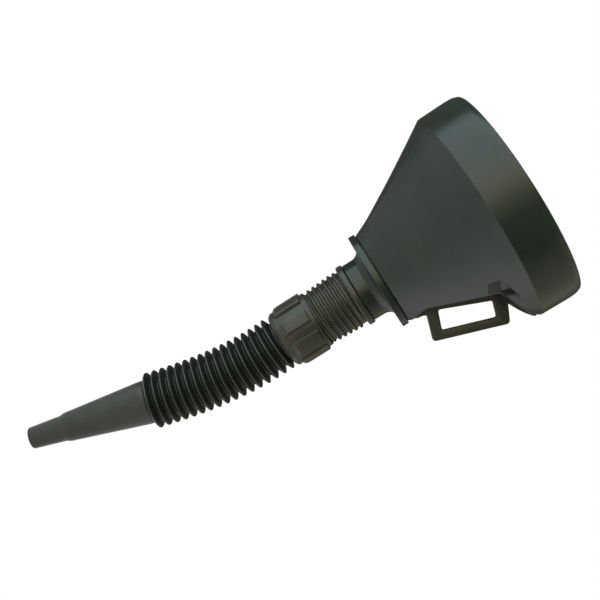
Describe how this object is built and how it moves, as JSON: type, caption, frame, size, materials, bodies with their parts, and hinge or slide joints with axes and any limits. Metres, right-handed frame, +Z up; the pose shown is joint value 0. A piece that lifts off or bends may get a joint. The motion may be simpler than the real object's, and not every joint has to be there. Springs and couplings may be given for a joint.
{
  "type": "fluid funnel",
  "caption": "Wide black plastic funnel with a moulded finger loop, lift-out strainer, threaded neck, screw-on nut and a bendable bellows spout ending in a tapered nozzle.",
  "frame": {"origin": "on the funnel's axis, at the level of the nozzle's lowest edge at rest, which is the bottom centre of the whole object's box; the collar's underside is 0.24595 m above it", "axes": "+Z up the funnel's axis towards the mouth, +X towards the finger loop; the spout bends towards -X at rest"},
  "size_m": [0.1444, 0.1444, 0.3499],
  "materials": {
    "bowl_plastic": "satin moulded polyethylene, near-black with a green-grey cast",
    "strainer_plastic": "satin",
    "gauze_brass": "woven wire, slightly dull",
    "adapter_plastic": "satin",
    "nut_plastic": "satin",
    "washer_rubber": "matt",
    "bellows_plastic": "half gloss",
    "nozzle_plastic": "satin"
  },
  "bodies": {
    "funnel": {"funnel_bowl": "bowl_plastic"},
    "strainer": {"strainer_ring": "strainer_plastic", "strainer_gauze": "gauze_brass"},
    "adapter": {"threaded_adapter": "adapter_plastic"},
    "washer": {"sealing_washer": "washer_rubber"},
    "nut": {"coupling_nut": "nut_plastic"},
    "hose_top": {"hose_collar": "bellows_plastic"},
    "ring_01": {"bellows_ring_01": "bellows_plastic"},
    "ring_02": {"bellows_ring_02": "bellows_plastic"},
    "ring_03": {"bellows_ring_03": "bellows_plastic"},
    "ring_04": {"bellows_ring_04": "bellows_plastic"},
    "ring_05": {"bellows_ring_05": "bellows_plastic"},
    "ring_06": {"bellows_ring_06": "bellows_plastic"},
    "ring_07": {"bellows_ring_07": "bellows_plastic"},
    "ring_08": {"bellows_ring_08": "bellows_plastic"},
    "ring_09": {"bellows_ring_09": "bellows_plastic"},
    "ring_10": {"bellows_ring_10": "bellows_plastic"},
    "ring_11": {"bellows_ring_11": "bellows_plastic"},
    "ring_12": {"bellows_ring_12": "bellows_plastic"},
    "ring_13": {"bellows_ring_13": "bellows_plastic"},
    "ring_14": {"bellows_ring_14": "bellows_plastic"},
    "ring_15": {"bellows_ring_15": "bellows_plastic"},
    "ring_16": {"bellows_ring_16": "bellows_plastic"},
    "ring_17": {"bellows_ring_17": "bellows_plastic"},
    "nozzle": {"nozzle": "nozzle_plastic"}
  },
  "joints": [
    {"name": "strainer_lift", "type": "slide", "parent": "funnel", "child": "strainer", "axis": [0, 0, 1], "range_m": [0, 0.12]},
    {"name": "adapter_pull", "type": "slide", "parent": "funnel", "child": "adapter", "axis": [0, 0, -1], "range_m": [0, 0.03]},
    {"name": "hose_release", "type": "slide", "parent": "adapter", "child": "washer", "axis": [0, 0, -1], "range_m": [0, 0.0156]},
    {"name": "nut_turn", "type": "hinge", "parent": "washer", "child": "nut", "pos_m": [0, 0, 0.19095], "axis": [0, 0, -1], "range_deg": [0, 1440]},
    {"name": "hose_swivel", "type": "hinge", "parent": "washer", "child": "hose_top", "pos_m": [0, 0, 0.18195], "axis": [0, 0, 1], "continuous": true},
    {"name": "bend_valley_01", "type": "hinge", "parent": "hose_top", "child": "ring_01", "pos_m": [0, 0, 0.17463], "axis": [0, 1, 0], "range_deg": [-6, 6], "stiffness_Nm_per_rad": 0.3},
    {"name": "sway_valley_02", "type": "hinge", "parent": "ring_01", "child": "ring_02", "pos_m": [0.00023, 0, 0.16908], "axis": [0.9991, 0, 0.0419], "range_deg": [-6, 6], "stiffness_Nm_per_rad": 0.3},
    {"name": "bend_valley_03", "type": "hinge", "parent": "ring_02", "child": "ring_03", "pos_m": [0.00031, 0, 0.16351], "axis": [0, 1, 0], "range_deg": [-6, 6], "stiffness_Nm_per_rad": 0.3},
    {"name": "sway_valley_04", "type": "hinge", "parent": "ring_03", "child": "ring_04", "pos_m": [0.00025, 0, 0.15796], "axis": [0.9999, 0, -0.012], "range_deg": [-6, 6], "stiffness_Nm_per_rad": 0.3},
    {"name": "bend_valley_05", "type": "hinge", "parent": "ring_04", "child": "ring_05", "pos_m": [0.00004, 0, 0.1524], "axis": [0, 1, 0], "range_deg": [-6, 6], "stiffness_Nm_per_rad": 0.3},
    {"name": "sway_valley_06", "type": "hinge", "parent": "ring_05", "child": "ring_06", "pos_m": [-0.00031, 0, 0.14685], "axis": [0.9981, 0, -0.0621], "range_deg": [-6, 6], "stiffness_Nm_per_rad": 0.3},
    {"name": "bend_valley_07", "type": "hinge", "parent": "ring_06", "child": "ring_07", "pos_m": [-0.00078, 0, 0.14131], "axis": [0, 1, 0], "range_deg": [-6, 6], "stiffness_Nm_per_rad": 0.3},
    {"name": "sway_valley_08", "type": "hinge", "parent": "ring_07", "child": "ring_08", "pos_m": [-0.00138, 0, 0.13578], "axis": [0.9942, 0, -0.108], "range_deg": [-6, 6], "stiffness_Nm_per_rad": 0.3},
    {"name": "bend_valley_09", "type": "hinge", "parent": "ring_08", "child": "ring_09", "pos_m": [-0.0021, 0, 0.13027], "axis": [0, 1, 0], "range_deg": [-6, 6], "stiffness_Nm_per_rad": 0.3},
    {"name": "sway_valley_10", "type": "hinge", "parent": "ring_09", "child": "ring_10", "pos_m": [-0.00293, 0, 0.12477], "axis": [0.9888, 0, -0.1494], "range_deg": [-6, 6], "stiffness_Nm_per_rad": 0.3},
    {"name": "bend_valley_11", "type": "hinge", "parent": "ring_10", "child": "ring_11", "pos_m": [-0.00387, 0, 0.11929], "axis": [0, 1, 0], "range_deg": [-6, 6], "stiffness_Nm_per_rad": 0.3},
    {"name": "sway_valley_12", "type": "hinge", "parent": "ring_11", "child": "ring_12", "pos_m": [-0.0049, 0, 0.11383], "axis": [0.9826, 0, -0.1856], "range_deg": [-6, 6], "stiffness_Nm_per_rad": 0.3},
    {"name": "bend_valley_13", "type": "hinge", "parent": "ring_12", "child": "ring_13", "pos_m": [-0.00602, 0, 0.10838], "axis": [0, 1, 0], "range_deg": [-6, 6], "stiffness_Nm_per_rad": 0.3},
    {"name": "sway_valley_14", "type": "hinge", "parent": "ring_13", "child": "ring_14", "pos_m": [-0.00722, 0, 0.10295], "axis": [0.9764, 0, -0.216], "range_deg": [-6, 6], "stiffness_Nm_per_rad": 0.3},
    {"name": "bend_valley_15", "type": "hinge", "parent": "ring_14", "child": "ring_15", "pos_m": [-0.00849, 0, 0.09754], "axis": [0, 1, 0], "range_deg": [-6, 6], "stiffness_Nm_per_rad": 0.3},
    {"name": "sway_valley_16", "type": "hinge", "parent": "ring_15", "child": "ring_16", "pos_m": [-0.00982, 0, 0.09214], "axis": [0.9709, 0, -0.2394], "range_deg": [-6, 6], "stiffness_Nm_per_rad": 0.3},
    {"name": "bend_valley_17", "type": "hinge", "parent": "ring_16", "child": "ring_17", "pos_m": [-0.0112, 0, 0.08676], "axis": [0, 1, 0], "range_deg": [-6, 6], "stiffness_Nm_per_rad": 0.3},
    {"name": "sway_valley_18", "type": "hinge", "parent": "ring_17", "child": "nozzle", "pos_m": [-0.0126, 0, 0.08138], "axis": [0.9677, 0, -0.2521], "range_deg": [-6, 6], "stiffness_Nm_per_rad": 0.3}
  ],
  "couplings": [
    {"joint": "nut_turn", "follows": "hose_release", "rad_per_m": 1611.1},
    {"joint": "bend_valley_03", "follows": "bend_valley_01", "ratio": 1},
    {"joint": "sway_valley_04", "follows": "sway_valley_02", "ratio": 1},
    {"joint": "bend_valley_05", "follows": "bend_valley_01", "ratio": 1},
    {"joint": "sway_valley_06", "follows": "sway_valley_02", "ratio": 1},
    {"joint": "bend_valley_07", "follows": "bend_valley_01", "ratio": 1},
    {"joint": "sway_valley_08", "follows": "sway_valley_02", "ratio": 1},
    {"joint": "bend_valley_09", "follows": "bend_valley_01", "ratio": 1},
    {"joint": "sway_valley_10", "follows": "sway_valley_02", "ratio": 1},
    {"joint": "bend_valley_11", "follows": "bend_valley_01", "ratio": 1},
    {"joint": "sway_valley_12", "follows": "sway_valley_02", "ratio": 1},
    {"joint": "bend_valley_13", "follows": "bend_valley_01", "ratio": 1},
    {"joint": "sway_valley_14", "follows": "sway_valley_02", "ratio": 1},
    {"joint": "bend_valley_15", "follows": "bend_valley_01", "ratio": 1},
    {"joint": "sway_valley_16", "follows": "sway_valley_02", "ratio": 1},
    {"joint": "bend_valley_17", "follows": "bend_valley_01", "ratio": 1},
    {"joint": "sway_valley_18", "follows": "sway_valley_02", "ratio": 1}
  ]
}
